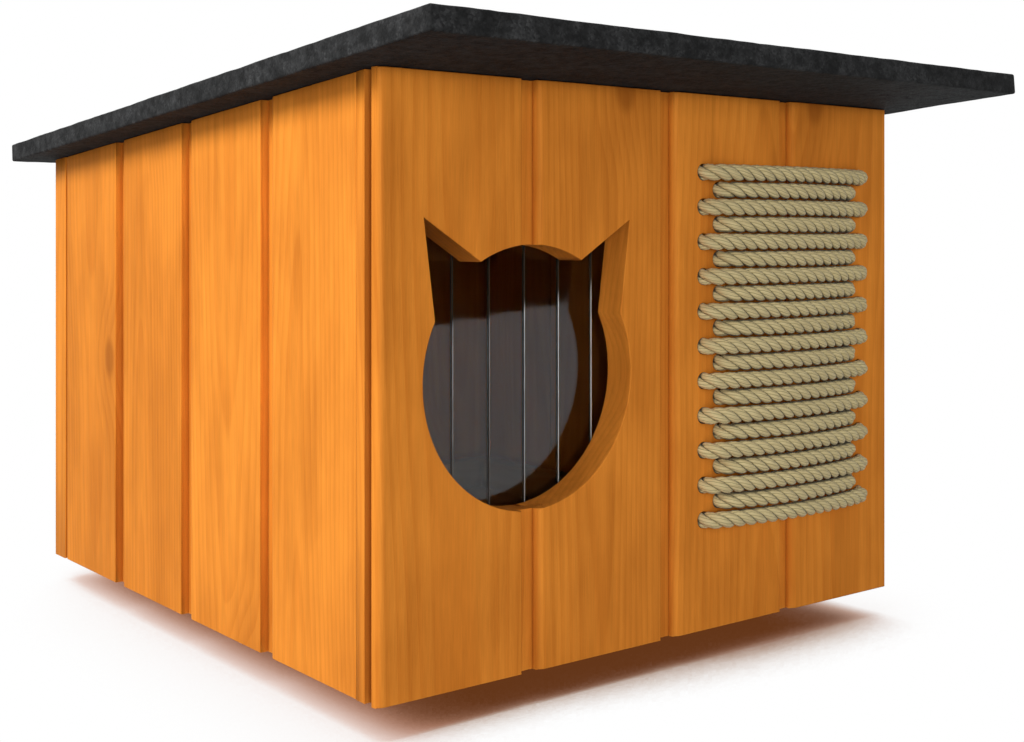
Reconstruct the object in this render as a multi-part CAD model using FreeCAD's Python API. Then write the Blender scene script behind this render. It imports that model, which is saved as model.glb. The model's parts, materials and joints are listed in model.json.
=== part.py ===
import FreeCAD, Part
import math
import os

Vec = FreeCAD.Vector

# Outdoor cat house: tongue-and-groove walls on two bearers under a hinged, felted roof.
# Millimetres. X runs along the front to the right, Y runs to the back and Z runs up.
# The origin lies on the ground under the middle of the roof.

# Walls
house_width = 500.0        # outside, along the front
house_depth = 547.0        # outside, from the front face to the back face
front_height = 397.5       # of the wall, at the front face
back_height = 362.0        # of the wall, at the back face

# Tongue-and-groove board
board_thickness = 25.0
board_cover = 128.0        # from one board's lip to the next board's lip
lip_thickness = 6.5        # outer lip, in front of the groove
lip_round = 6.0            # rounding of the lip's outer edge
groove_width = 8.0
groove_depth = 10.0
shelf_width = 14.0         # stretch of tongue that shows beside the next board's lip
tongue_bite = 8.0          # length of tongue inside the groove
joint_clearance = 0.2      # between tongue and groove
inner_joint_gap = 1.0      # between boards on the inner face

# Cat-head entrance, a circle with two ears; angles are measured from straight up
head_from_left = 123.5     # its middle, from the left wall's outer face
head_drop = 1.25           # its middle, below the middle of the front wall's height
head_radius = 89.0
ear_tip_reach = 138.0      # from the middle of the head
ear_tip_angle = 39.7
ear_inner_angle = 29.0
ear_outer_angle = 63.2

# Floor and frame
bearer_height = 22.0
bearer_width = 45.0
bearer_side_inset = 75.0   # from the side walls' outer faces
bearer_end_inset = 75.0    # from the front and back faces
bearer_bevel = 10.0
floor_thickness = 18.0
rail_width = 20.0          # inwards from the wall
rail_height = 30.0

# Roof
front_overhang = 102.5
back_overhang = 27.0
side_overhang = 31.0
deck_thickness = 12.0
felt_thickness = 2.0
felt_edge_round = 1.8
felt_lap = 5.0             # how far the felt reaches in past the walls' inner faces
roof_seat_gap = 0.3
roof_batten_width = 40.0
roof_batten_height = 20.0
roof_batten_clearance = 12.0   # to the frame's top rails

# Butt hinges in the corner between the back wall and the roof's overhang
hinge_inset = 75.0         # hinge middle, from the side walls' outer faces
hinge_length = 60.0
leaf_thickness = 2.0
leaf_reach = 18.0          # from the pin's axis
leaf_screw_reach = 11.0    # from the pin's axis to a leaf's screws
pin_radius = 2.0
pin_clearance = 0.05
pin_head_thickness = 1.5
knuckle_wall = 2.0
knuckle_clearance = 0.35

# Wood screws
screw_radius = 1.75
screw_head_radius = 3.5
screw_head_height = 1.75
screw_clearance = 0.05
wall_screw_length = 18.0
roof_screw_length = 11.0
bearer_screw_length = 34.0
curtain_screw_grip = 14.0  # length of the curtain's screws inside the front boards

# Strip curtain behind the entrance
strip_count = 7
strip_pitch = 30.6
strip_gap = 1.0
strip_thickness = 2.0
strip_overlap = 20.0       # below the entrance's lower edge
strip_wall_clearance = 2.0
curtain_rise = 3.5         # from the ear tips to the strips' bending line
curtain_clamp_height = 21.0
curtain_backing_thickness = 4.0
curtain_batten_thickness = 15.0
bend_clearance = 0.3
curtain_screw_count = 4
curtain_screw_margin = 12.0

# Scratching rope, threaded through the front wall in long and short rows
rope_diameter = 12.0
rope_row_gap = 0.87
rope_top_margin = 57.9     # from the front wall's upper edge to the first row, at the least
rope_bottom_margin = 82.0  # from the walls' lower edge to the last row, at the least
rope_joint_margin = 29.5   # from the board joint beside the front's middle to a long row's left hole
rope_side_margin = 35.5    # from the right wall's outer face to a long row's right hole
row_step = 16.0            # from a long row's holes in to a short row's holes
rope_bow = 8.5             # how far a row's middle stands further out than its ends
rope_bend_radius = 8.0     # at the holes' mouths
rope_hole_clearance = 0.3
tail_bend_radius = 12.0
tail_length = 18.0
staple_wire_radius = 1.0
staple_bite = 9.0          # length of the staple's legs in the wood
staple_clearance = 0.3

# Places that follow from the sizes above
roof_slope = math.atan((front_height - back_height) / house_depth)
roof_thickness = deck_thickness + 2 * felt_thickness
roof_tip = roof_thickness * math.sin(roof_slope)
left_x = -house_width / 2
right_x = house_width / 2
front_y = (front_overhang - house_depth - back_overhang - roof_tip) / 2
back_y = front_y + house_depth
base_z = bearer_height
floor_top = base_z + floor_thickness
inner_left = left_x + board_thickness
inner_right = right_x - board_thickness
inner_front = front_y + board_thickness
inner_back = back_y - board_thickness
head_x = left_x + head_from_left
head_z = base_z + front_height / 2 - head_drop


def wall_top(y):
    """Height of the walls' sloping upper edge at y."""
    return base_z + front_height - math.tan(roof_slope) * (y - front_y)


def soffit(y):
    """Height of the roof's underside at y."""
    return wall_top(y) + roof_seat_gap / math.cos(roof_slope)


hinge_axis_y = back_y + pin_radius + knuckle_wall + knuckle_clearance
hinge_axis_offset = hinge_axis_y - back_y
hinge_axis_z = soffit(hinge_axis_y) - hinge_axis_offset / math.cos(roof_slope)

ear_tip_z = head_z + ear_tip_reach * math.cos(math.radians(ear_tip_angle))
bend_z = ear_tip_z + curtain_rise
clamp_z = bend_z + strip_thickness / 2 + bend_clearance
strip_front_y = inner_front + curtain_backing_thickness
strip_mid_y = strip_front_y + strip_thickness / 2
batten_y = strip_front_y + strip_thickness
strip_bottom = head_z - head_radius - strip_overlap
curtain_left = inner_left + strip_wall_clearance
curtain_right = head_x + (strip_count * strip_pitch - strip_gap) / 2

rope_radius = rope_diameter / 2
rope_pitch = rope_diameter + rope_row_gap
rope_room = front_height - rope_top_margin - rope_bottom_margin
rope_rows = 1 + 2 * math.floor(rope_room / (2 * rope_pitch))
rope_left = left_x + board_cover * round(house_width / 2 / board_cover) + rope_joint_margin
rope_right = right_x - rope_side_margin
rope_x = (rope_left + rope_right) / 2
rope_z = base_z + rope_bottom_margin + rope_room / 2
long_row_half = (rope_right - rope_left) / 2


def box(low, high):
    """Solid box between two corners."""
    size = high - low
    return Part.makeBox(size.x, size.y, size.z, low)


def line(start, end):
    """Straight edge."""
    return Part.LineSegment(start, end).toShape()


def arc(start, middle, end):
    """Arc through three points."""
    return Part.Arc(start, middle, end).toShape()


def prism(edges, height):
    """Solid swept from a closed outline along a vector."""
    return Part.Face(Part.Wire(edges)).extrude(height)


def polygon(points, height):
    """Solid swept from a polygon along a vector."""
    return prism([line(a, b) for a, b in zip(points, points[1:] + points[:1])], height)


def save(shape, name):
    """Write one piece and print its volume."""
    shape.exportStep("parts/" + name + ".step")
    print(name, len(shape.Solids), "solid,", round(shape.Volume / 1000, 1), "cm3")


def under_roof():
    """Everything below the walls' sloping upper edge."""
    reach = house_depth
    corners = [Vec(-house_width, -reach, 0), Vec(-house_width, reach, 0),
               Vec(-house_width, reach, wall_top(reach)), Vec(-house_width, -reach, wall_top(-reach))]
    return polygon(corners, Vec(2 * house_width, 0, 0))


# Screws

def screw(head, direction, length, play=0.0):
    """Countersunk screw whose head is flush at the point head; play widens it into a hole."""
    cone = Part.makeCone(screw_head_radius + play, screw_radius + play, screw_head_height, head, direction)
    shank = Part.makeCylinder(screw_radius + play, length + play, head, direction)
    return cone.fuse(shank).removeSplitter()


def screws(heads, direction, length):
    """A group of equal screws."""
    return Part.makeCompound([screw(head, direction, length) for head in heads])


def screw_holes(heads, direction, length):
    """The holes for such a group."""
    return Part.makeCompound([screw(head, direction, length, screw_clearance) for head in heads])


# Board walls

def board_profile(width, has_tongue):
    """Edges of a board's cross-section: X along the wall from the lip, Y inwards from the face."""
    groove_back = lip_thickness + groove_width
    tongue_front = lip_thickness + joint_clearance
    tongue_back = groove_back - joint_clearance
    bend = lip_round * (1 - math.sqrt(0.5))
    face_end = width - shelf_width if has_tongue else width
    tongue_end = width + tongue_bite
    inner_end = width - inner_joint_gap if has_tongue else width
    points = [Vec(lip_round, 0), Vec(face_end, 0)]
    if has_tongue:
        points += [Vec(face_end, tongue_front), Vec(tongue_end, tongue_front), Vec(tongue_end, tongue_back),
                   Vec(inner_end, tongue_back)]
    points += [Vec(inner_end, board_thickness), Vec(0, board_thickness), Vec(0, groove_back),
               Vec(groove_depth, groove_back), Vec(groove_depth, lip_thickness), Vec(0, lip_thickness),
               Vec(0, lip_round)]
    edges = [line(a, b) for a, b in zip(points, points[1:])]
    edges.append(arc(Vec(0, lip_round), Vec(bend, bend), Vec(lip_round, 0)))
    return edges


def wall(start, turn, length, below):
    """Boards of one wall, from the left end as seen from outside; the last one is ripped to fit."""
    place = FreeCAD.Placement(start, FreeCAD.Rotation(Vec(0, 0, 1), turn))
    tall = Vec(0, 0, front_height + rail_height)
    count = math.ceil(length / board_cover)
    boards = []
    for index in range(count):
        left = index * board_cover
        last = index == count - 1
        width = length - left if last else board_cover
        board = prism(board_profile(width, not last), tall)
        board.translate(Vec(left, 0, 0))
        board.Placement = place.multiply(board.Placement)
        boards.append(board.common(below))
    return boards


def cat_head():
    """Solid of the entrance, right through the front wall."""
    def at(radius, angle):
        turn = math.radians(angle)
        return Vec(head_x + radius * math.sin(turn), front_y, head_z + radius * math.cos(turn))

    edges = [line(at(head_radius, -ear_outer_angle), at(ear_tip_reach, -ear_tip_angle)),
             line(at(ear_tip_reach, -ear_tip_angle), at(head_radius, -ear_inner_angle)),
             arc(at(head_radius, -ear_inner_angle), at(head_radius, 0), at(head_radius, ear_inner_angle)),
             line(at(head_radius, ear_inner_angle), at(ear_tip_reach, ear_tip_angle)),
             line(at(ear_tip_reach, ear_tip_angle), at(head_radius, ear_outer_angle)),
             arc(at(head_radius, ear_outer_angle), at(head_radius, 180), at(head_radius, -ear_outer_angle))]
    return prism(edges, Vec(0, board_thickness, 0))


# Scratching rope

def row_z(row):
    """Height of a row of rope, counted from the top."""
    return rope_z + ((rope_rows - 1) / 2 - row) * rope_pitch


def row_half(row):
    """Half the distance between a row's two holes."""
    return long_row_half - row_step if row % 2 else long_row_half


def row_way(row):
    """1 for a row that runs to the right, -1 for one that runs back to the left."""
    return -1 if row % 2 else 1


def row_start(row):
    """Where a row's rope comes out of the front face."""
    return Vec(rope_x - row_way(row) * row_half(row), front_y, row_z(row))


def row_end(row):
    """Where a row's rope goes back into the front face."""
    return Vec(rope_x + row_way(row) * row_half(row), front_y, row_z(row))


def row_edges(row):
    """A row: out of its hole round a bend, across in a shallow bow, and round a bend into its end hole."""
    way = row_way(row)
    tilt = 2 * math.atan(rope_bow / (row_half(row) - rope_bend_radius))
    turn = math.pi / 2 - tilt

    def bend(angle):
        return Vec(way * rope_bend_radius * (1 - math.cos(angle)), -rope_bend_radius * math.sin(angle), 0)

    def mirror(offset):
        return Vec(-offset.x, offset.y, 0)

    start = row_start(row)
    end = row_end(row)
    leave = bend(turn)
    half_chord = row_half(row) - abs(leave.x)
    bow = half_chord * math.tan(tilt / 2)
    crest = Vec(rope_x, front_y + leave.y - bow, row_z(row))
    bow_radii.append(half_chord / math.sin(tilt))
    return [arc(start, start + bend(turn / 2), start + leave),
            arc(start + leave, crest, end + mirror(leave)),
            arc(end + mirror(leave), end + mirror(bend(turn / 2)), end)]


def loop_edges(row):
    """Through the wall at a row's end, a half turn behind it, and back to the next row's start."""
    inwards = Vec(0, board_thickness, 0)
    near = row_end(row) + inwards
    far = row_start(row + 1) + inwards
    radius = (far - near).Length / 2
    loop_radii.append(radius)
    crown = (near + far) / 2 + Vec(0, radius, 0)
    return [line(row_end(row), near), arc(near, crown, far), line(far, row_start(row + 1))]


def tail_points(hole, away):
    """Points of a tail behind the wall: its bend's start, middle and end, and the rope's cut end."""
    bend_start = hole + Vec(0, board_thickness, 0)
    reach = tail_bend_radius * math.sqrt(0.5)
    inwards = Vec(0, 1, 0)
    middle = bend_start + away * (tail_bend_radius - reach) + inwards * reach
    bend_end = bend_start + (away + inwards) * tail_bend_radius
    return bend_start, middle, bend_end, bend_end + away * tail_length


def rope_path():
    """The rope's whole route as one wire, from the upper left tail to the lower right tail."""
    bend_start, middle, bend_end, cut_end = tail_points(row_start(0), Vec(-1, 0, 0))
    edges = [line(cut_end, bend_end), arc(bend_end, middle, bend_start), line(bend_start, row_start(0))]
    for row in range(rope_rows):
        edges += row_edges(row)
        if row < rope_rows - 1:
            edges += loop_edges(row)
    last = row_end(rope_rows - 1)
    bend_start, middle, bend_end, cut_end = tail_points(last, Vec(0, 0, -1))
    edges += [line(last, bend_start), arc(bend_start, middle, bend_end), line(bend_end, cut_end)]
    return Part.Wire(edges)


def rope_self_gap(path):
    """Least gap between the rope's surface and itself, measured on points along its route."""
    step = rope_radius / 3
    same_stretch = 3 * rope_diameter
    skip = math.ceil(same_stretch / step)
    points = path.discretize(Number=math.ceil(path.Length / step))
    least = path.Length
    for index, point in enumerate(points):
        for other in points[index + skip:]:
            if abs(other.z - point.z) < 2 * rope_pitch:
                least = min(least, point.distanceToPoint(other))
    return least - rope_diameter


def rope_tube(path):
    """The rope as one unbroken tube."""
    start = path.OrderedVertexes[0].Point
    heading = path.OrderedEdges[0].tangentAt(path.OrderedEdges[0].FirstParameter)
    section = Part.Wire(Part.makeCircle(rope_radius, start, heading))
    tube = path.makePipeShell([section], True, False)
    print("rope length", round(path.Length), "mm, tube volume over section times length",
          round(tube.Volume / (math.pi * rope_radius ** 2 * path.Length), 4))
    print("rope radii: bends", rope_bend_radius, "tails", tail_bend_radius,
          "loops", round(min(loop_radii), 1), "bows", round(min(bow_radii)), "to", round(max(bow_radii)))
    print("rope's least gap to itself", round(rope_self_gap(path), 2), "mm")
    return tube


def rope_holes():
    """The rope's holes through the front wall."""
    mouths = [row_start(row) for row in range(rope_rows)] + [row_end(row) for row in range(rope_rows)]
    radius = rope_radius + rope_hole_clearance
    inwards = Vec(0, 1, 0)
    return Part.makeCompound([Part.makeCylinder(radius, board_thickness, mouth, inwards) for mouth in mouths])


def staple_path(middle, side, extra):
    """Wire of a staple over a tail; extra lengthens its legs."""
    radius = rope_radius + staple_clearance + staple_wire_radius
    inwards = Vec(0, 1, 0)
    leg = Vec(0, tail_bend_radius + staple_bite + extra, 0)
    left = middle - side * radius
    right = middle + side * radius
    crown = middle + inwards * radius
    return Part.Wire([line(left - leg, left), arc(left, crown, right), line(right, right - leg)])


def staple_places():
    """Middle of each tail's straight end, with the direction across it."""
    upper = tail_points(row_start(0), Vec(-1, 0, 0))
    lower = tail_points(row_end(rope_rows - 1), Vec(0, 0, -1))
    return [((upper[2] + upper[3]) / 2, Vec(0, 0, 1)), ((lower[2] + lower[3]) / 2, Vec(1, 0, 0))]


def staples():
    """Both staples that hold the rope's tails."""
    bent = []
    for middle, side in staple_places():
        path = staple_path(middle, side, 0)
        foot = path.OrderedVertexes[0].Point
        section = Part.Wire(Part.makeCircle(staple_wire_radius, foot, Vec(0, 1, 0)))
        bent.append(path.makePipeShell([section], True, False))
    return Part.makeCompound(bent)


def staple_holes():
    """Holes for the staples' legs in the front wall."""
    holes = []
    for middle, side in staple_places():
        path = staple_path(middle, side, screw_clearance)
        for foot in (path.OrderedVertexes[0].Point, path.OrderedVertexes[-1].Point):
            radius = staple_wire_radius + screw_clearance
            holes.append(Part.makeCylinder(radius, staple_bite + screw_clearance, foot, Vec(0, 1, 0)))
    return Part.makeCompound(holes)


# Strip curtain

def strip_sides(index):
    """Left and right edge of a strip; the one beside the left wall is trimmed."""
    right = curtain_right - (strip_count - 1 - index) * strip_pitch
    left = right - strip_pitch + strip_gap
    return max(left, curtain_left), right


def strip(index):
    """One hanging strip with a rounded upper edge on its bending line."""
    left, right = strip_sides(index)
    front_top = Vec(left, strip_front_y, bend_z)
    front_foot = Vec(left, strip_front_y, strip_bottom)
    back_foot = Vec(left, batten_y, strip_bottom)
    back_top = Vec(left, batten_y, bend_z)
    crown = Vec(left, strip_mid_y, bend_z + strip_thickness / 2)
    edges = [line(front_top, front_foot), line(front_foot, back_foot), line(back_foot, back_top),
             arc(back_top, crown, front_top)]
    return prism(edges, Vec(right - left, 0, 0))


def curtain_bar(y, thickness):
    """A bar of the curtain's clamp, along the whole curtain."""
    low = Vec(curtain_left, y, clamp_z)
    return box(low, Vec(curtain_right, y + thickness, clamp_z + curtain_clamp_height))


def curtain_screw_heads():
    """Screw heads on the batten's inner face."""
    left = curtain_left + curtain_screw_margin
    right = curtain_right - curtain_screw_margin
    step = (right - left) / (curtain_screw_count - 1)
    y = batten_y + curtain_batten_thickness
    z = clamp_z + curtain_clamp_height / 2
    return [Vec(left + step * index, y, z) for index in range(curtain_screw_count)]


# Floor and frame

def bearer(side):
    """One bearer under the floor with bevelled ends; side is -1 for left and 1 for right."""
    middle = side * (house_width / 2 - bearer_side_inset - bearer_width / 2)
    x = middle - bearer_width / 2
    front = front_y + bearer_end_inset
    back = back_y - bearer_end_inset
    points = [Vec(x, front + bearer_bevel, 0), Vec(x, back - bearer_bevel, 0), Vec(x, back, bearer_bevel),
              Vec(x, back, bearer_height), Vec(x, front, bearer_height), Vec(x, front, bearer_bevel)]
    return polygon(points, Vec(bearer_width, 0, 0))


def bearer_screw_heads(side):
    """Screw heads on the floor above one bearer."""
    middle = side * (house_width / 2 - bearer_side_inset - bearer_width / 2)
    front = front_y + bearer_end_inset + bearer_width
    back = back_y - bearer_end_inset - bearer_width
    return [Vec(middle, y, floor_top) for y in (front, (front + back) / 2, back)]


def cross_rail(y, low, high):
    """A rail along the front or back wall."""
    return box(Vec(inner_left, y, low), Vec(inner_right, y + rail_width, high))


def cross_top_rail(y):
    """A rail along the top of the front or back wall, before the roof's slope is cut on it."""
    low = wall_top(y + rail_width) - rail_height
    return cross_rail(y, low, wall_top(y))


def side_bottom_rail(x):
    """A bottom rail along a side wall, between the front and back ones."""
    low = Vec(x, inner_front + rail_width, floor_top)
    return box(low, Vec(x + rail_width, inner_back - rail_width, floor_top + rail_height))


def side_top_rail(x):
    """A top rail along a side wall, sloping with the roof."""
    front = inner_front + rail_width
    back = inner_back - rail_width
    points = [Vec(x, front, wall_top(front) - rail_height), Vec(x, back, wall_top(back) - rail_height),
              Vec(x, back, wall_top(back)), Vec(x, front, wall_top(front))]
    return polygon(points, Vec(rail_width, 0, 0))


# Roof, drawn flat with its front lower edge on the X axis and then tilted into place

roof_length = (house_depth + front_overhang + back_overhang) / math.cos(roof_slope)
roof_half_width = house_width / 2 + side_overhang


def tilt_roof(shape):
    """Tilt a flat roof piece to the slope and set it on the walls."""
    edge_y = front_y - front_overhang
    shape.rotate(Vec(0, 0, 0), Vec(1, 0, 0), -math.degrees(roof_slope))
    shape.translate(Vec(0, edge_y, soffit(edge_y)))
    return shape


def along_roof(y):
    """Distance along the flat roof of a place at y in the house."""
    return (y - front_y + front_overhang) / math.cos(roof_slope)


def roof_deck():
    """The plywood deck inside the felt."""
    side = roof_half_width - felt_thickness
    return box(Vec(-side, felt_thickness, felt_thickness),
               Vec(side, roof_length - felt_thickness, felt_thickness + deck_thickness))


def roof_felt():
    """The felt: over the deck, round its edges and back under it as far as the walls."""
    wrap = box(Vec(-roof_half_width, 0, 0), Vec(roof_half_width, roof_length, roof_thickness))
    wrap = wrap.makeFillet(felt_edge_round, wrap.Edges)
    open_side = inner_right - felt_lap
    open_front = along_roof(inner_front + felt_lap)
    open_back = along_roof(inner_back - felt_lap)
    window = box(Vec(-open_side, open_front, 0), Vec(open_side, open_back, felt_thickness))
    return wrap.cut(roof_deck()).cut(window)


def roof_batten(front):
    """A batten across the underside of the deck, from its front edge along the flat roof."""
    side = inner_right - rail_width - roof_batten_clearance
    low = Vec(-side, front, felt_thickness - roof_batten_height)
    return box(low, Vec(side, front + roof_batten_width, felt_thickness))


# Hinges

def on_hinge_axis(x, radius, length):
    """A cylinder along the hinge axis, starting at x."""
    return Part.makeCylinder(radius, length, Vec(x, hinge_axis_y, hinge_axis_z), Vec(1, 0, 0))


def leaf(plate, knuckle_starts, room_starts, knuckle_length):
    """A hinge leaf: its plate with room for the other leaf's knuckles, and its own bored knuckles."""
    outer = pin_radius + knuckle_wall
    for start in room_starts:
        room_length = knuckle_length + 2 * knuckle_clearance
        plate = plate.cut(on_hinge_axis(start - knuckle_clearance, outer + knuckle_clearance, room_length))
    for start in knuckle_starts:
        plate = plate.fuse(on_hinge_axis(start, outer, knuckle_length))
    bore = on_hinge_axis(knuckle_starts[0] - hinge_length, pin_radius + pin_clearance, 3 * hinge_length)
    return plate.cut(bore).removeSplitter()


def knuckle_layout(middle):
    """Start of each of a hinge's three knuckles, and their length."""
    pitch = (hinge_length + knuckle_clearance) / 3
    start = middle - hinge_length / 2
    return [start, start + pitch, start + 2 * pitch], pitch - knuckle_clearance


def wall_leaf(middle):
    """The leaf on the back wall, with the two outer knuckles."""
    starts, length = knuckle_layout(middle)
    plate = box(Vec(middle - hinge_length / 2, back_y, hinge_axis_z - leaf_reach),
                Vec(middle + hinge_length / 2, back_y + leaf_thickness, hinge_axis_z))
    return leaf(plate, [starts[0], starts[2]], [starts[1]], length)


def roof_leaf(middle):
    """The leaf under the roof's overhang, with the middle knuckle."""
    starts, length = knuckle_layout(middle)
    under = hinge_axis_z + hinge_axis_offset
    plate = box(Vec(middle - hinge_length / 2, hinge_axis_y, under - leaf_thickness),
                Vec(middle + hinge_length / 2, hinge_axis_y + leaf_reach, under))
    plate = leaf(plate, [starts[1]], [starts[0], starts[2]], length)
    plate.rotate(Vec(0, hinge_axis_y, hinge_axis_z), Vec(1, 0, 0), -math.degrees(roof_slope))
    return plate


def hinge_pin(middle):
    """A hinge pin with a flat head at each end."""
    start = middle - hinge_length / 2
    head = pin_radius + knuckle_wall / 2
    pin = on_hinge_axis(start, pin_radius, hinge_length)
    pin = pin.fuse(on_hinge_axis(start - pin_head_thickness, head, pin_head_thickness))
    return pin.fuse(on_hinge_axis(start + hinge_length, head, pin_head_thickness)).removeSplitter()


def leaf_screw_xs(middle):
    """Places of a leaf's three screws along the hinge."""
    pitch = hinge_length / 3
    return [middle + (index - 1) * pitch for index in range(3)]


def wall_screw_heads(middle):
    """Screw heads on the wall leaf's outer face."""
    return [Vec(x, back_y + leaf_thickness, hinge_axis_z - leaf_screw_reach) for x in leaf_screw_xs(middle)]


def roof_screw_heads(middle):
    """Screw heads on the roof leaf's lower face."""
    down = Vec(0, -math.sin(roof_slope), -math.cos(roof_slope))
    back = Vec(0, math.cos(roof_slope), -math.sin(roof_slope))
    face = Vec(0, hinge_axis_y, hinge_axis_z) - down * (hinge_axis_offset - leaf_thickness)
    return [face + back * leaf_screw_reach + Vec(x, 0, 0) for x in leaf_screw_xs(middle)]


os.makedirs("parts", exist_ok=True)
loop_radii = []
bow_radii = []
below = under_roof()

hinge_middles = {"left": left_x + hinge_inset, "right": right_x - hinge_inset}
into_wall = Vec(0, -1, 0)
into_roof = Vec(0, math.sin(roof_slope), math.cos(roof_slope))
wall_heads = [head for middle in hinge_middles.values() for head in wall_screw_heads(middle)]
roof_heads = [head for middle in hinge_middles.values() for head in roof_screw_heads(middle)]
wall_holes = screw_holes(wall_heads, into_wall, wall_screw_length)
roof_holes = screw_holes(roof_heads, into_roof, roof_screw_length)

curtain_heads = curtain_screw_heads()
curtain_clamp_depth = curtain_backing_thickness + strip_thickness + curtain_batten_thickness
curtain_screw_length = curtain_clamp_depth + curtain_screw_grip
curtain_holes = screw_holes(curtain_heads, into_wall, curtain_screw_length)

bearer_heads = {"left": bearer_screw_heads(-1), "right": bearer_screw_heads(1)}
floor_heads = bearer_heads["left"] + bearer_heads["right"]
floor_holes = screw_holes(floor_heads, Vec(0, 0, -1), bearer_screw_length)

# Front wall, cut for the entrance, the rope, its staples and the curtain's screws
entrance = cat_head()
front_cuts = Part.makeCompound([rope_holes(), staple_holes(), curtain_holes])
front_boards = wall(Vec(left_x, front_y, base_z), 0, house_width, below)
for index, board in enumerate(front_boards):
    save(board.cut(entrance).cut(front_cuts), "front_board_" + str(index + 1))

# Side walls, between the front and back walls
side_length = house_depth - 2 * board_thickness
for index, board in enumerate(wall(Vec(right_x, inner_front, base_z), 90, side_length, below)):
    save(board, "right_board_" + str(index + 1))
for index, board in enumerate(wall(Vec(left_x, inner_back, base_z), -90, side_length, below)):
    save(board, "left_board_" + str(index + 1))

# Back wall, drilled for the hinge screws
for index, board in enumerate(wall(Vec(right_x, back_y, base_z), 180, house_width, below)):
    save(board.cut(wall_holes), "back_board_" + str(index + 1))

# Floor, bearers and rails
floor = box(Vec(inner_left, inner_front, base_z), Vec(inner_right, inner_back, floor_top))
save(floor.cut(floor_holes), "floor_panel")
save(bearer(-1).cut(floor_holes), "bearer_left")
save(bearer(1).cut(floor_holes), "bearer_right")
save(screws(floor_heads, Vec(0, 0, -1), bearer_screw_length), "bearer_screws")
save(cross_rail(inner_front, floor_top, floor_top + rail_height), "bottom_rail_front")
save(cross_rail(inner_back - rail_width, floor_top, floor_top + rail_height), "bottom_rail_back")
save(side_bottom_rail(inner_left), "bottom_rail_left")
save(side_bottom_rail(inner_right - rail_width), "bottom_rail_right")
save(cross_top_rail(inner_front).common(below), "top_rail_front")
save(cross_top_rail(inner_back - rail_width).common(below), "top_rail_back")
save(side_top_rail(inner_left), "top_rail_left")
save(side_top_rail(inner_right - rail_width), "top_rail_right")

# Roof
batten_margin = rail_width + roof_batten_clearance
save(tilt_roof(roof_deck()).cut(roof_holes), "roof_deck")
save(tilt_roof(roof_felt()).cut(roof_holes), "roof_felt")
save(tilt_roof(roof_batten(along_roof(inner_front + batten_margin))), "roof_batten_front")
rear_batten = along_roof(inner_back - batten_margin) - roof_batten_width
save(tilt_roof(roof_batten(rear_batten)), "roof_batten_back")

# Hinges
for side, middle in hinge_middles.items():
    save(wall_leaf(middle).cut(wall_holes), "hinge_" + side + "_wall_leaf")
    save(roof_leaf(middle).cut(roof_holes), "hinge_" + side + "_roof_leaf")
    save(hinge_pin(middle), "hinge_" + side + "_pin")
save(screws(wall_heads, into_wall, wall_screw_length), "hinge_wall_screws")
save(screws(roof_heads, into_roof, roof_screw_length), "hinge_roof_screws")

# Strip curtain
save(curtain_bar(inner_front, curtain_backing_thickness).cut(curtain_holes), "curtain_backing_strip")
save(curtain_bar(strip_front_y, strip_thickness).cut(curtain_holes), "curtain_heading")
save(curtain_bar(batten_y, curtain_batten_thickness).cut(curtain_holes), "curtain_batten")
save(screws(curtain_heads, into_wall, curtain_screw_length), "curtain_screws")
for index in range(strip_count):
    save(strip(index), "curtain_strip_" + str(index + 1))

# Rope
save(rope_tube(rope_path()), "scratch_rope")
save(staples(), "rope_staples")

print("roof slope", round(math.degrees(roof_slope), 3), "degrees")
print("hinge axis y, z", round(hinge_axis_y, 3), round(hinge_axis_z, 3))
print("strip bending line y, z", round(strip_mid_y, 3), round(bend_z, 3))
print("front face y", round(front_y, 3), "entrance middle", round(head_x, 3), round(head_z, 3))
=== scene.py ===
# %% [markdown]
# # An outdoor cat house
# The house is a small timber building: stained tongue-and-groove boards, a cat-head entrance with a clear
# strip curtain, a panel of sisal rope to scratch, and a felted roof that lifts. Its exact shapes arrive as
# a frame of parts. This lesson gives every part its finish, and makes again, with more detail, the ones
# whose real shape is finer than the frame: eased boards, laid rope, soft strips and wavy felt.

# %% Load the frame
import json
import math
import random

import bmesh
import bpy
import numpy as np
from mathutils import Matrix, Vector, noise


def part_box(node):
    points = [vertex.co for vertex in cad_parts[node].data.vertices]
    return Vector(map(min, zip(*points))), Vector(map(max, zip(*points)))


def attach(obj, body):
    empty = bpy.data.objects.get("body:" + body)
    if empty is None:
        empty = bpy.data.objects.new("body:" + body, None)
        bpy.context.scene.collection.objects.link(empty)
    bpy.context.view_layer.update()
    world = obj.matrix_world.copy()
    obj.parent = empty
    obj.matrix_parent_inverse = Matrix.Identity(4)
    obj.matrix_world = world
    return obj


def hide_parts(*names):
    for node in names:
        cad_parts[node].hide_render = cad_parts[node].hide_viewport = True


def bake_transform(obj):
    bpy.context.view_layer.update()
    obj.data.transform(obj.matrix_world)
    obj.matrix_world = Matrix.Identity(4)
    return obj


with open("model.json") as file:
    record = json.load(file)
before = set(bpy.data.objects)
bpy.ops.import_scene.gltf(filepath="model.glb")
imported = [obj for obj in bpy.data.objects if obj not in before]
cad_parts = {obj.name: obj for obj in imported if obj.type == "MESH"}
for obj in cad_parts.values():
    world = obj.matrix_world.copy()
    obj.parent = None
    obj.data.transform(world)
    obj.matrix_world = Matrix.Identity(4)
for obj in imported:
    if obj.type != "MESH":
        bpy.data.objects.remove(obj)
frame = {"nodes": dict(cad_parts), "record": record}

MM = 0.001
X, Y, Z = 0, 1, 2
scene = bpy.context.scene
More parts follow.
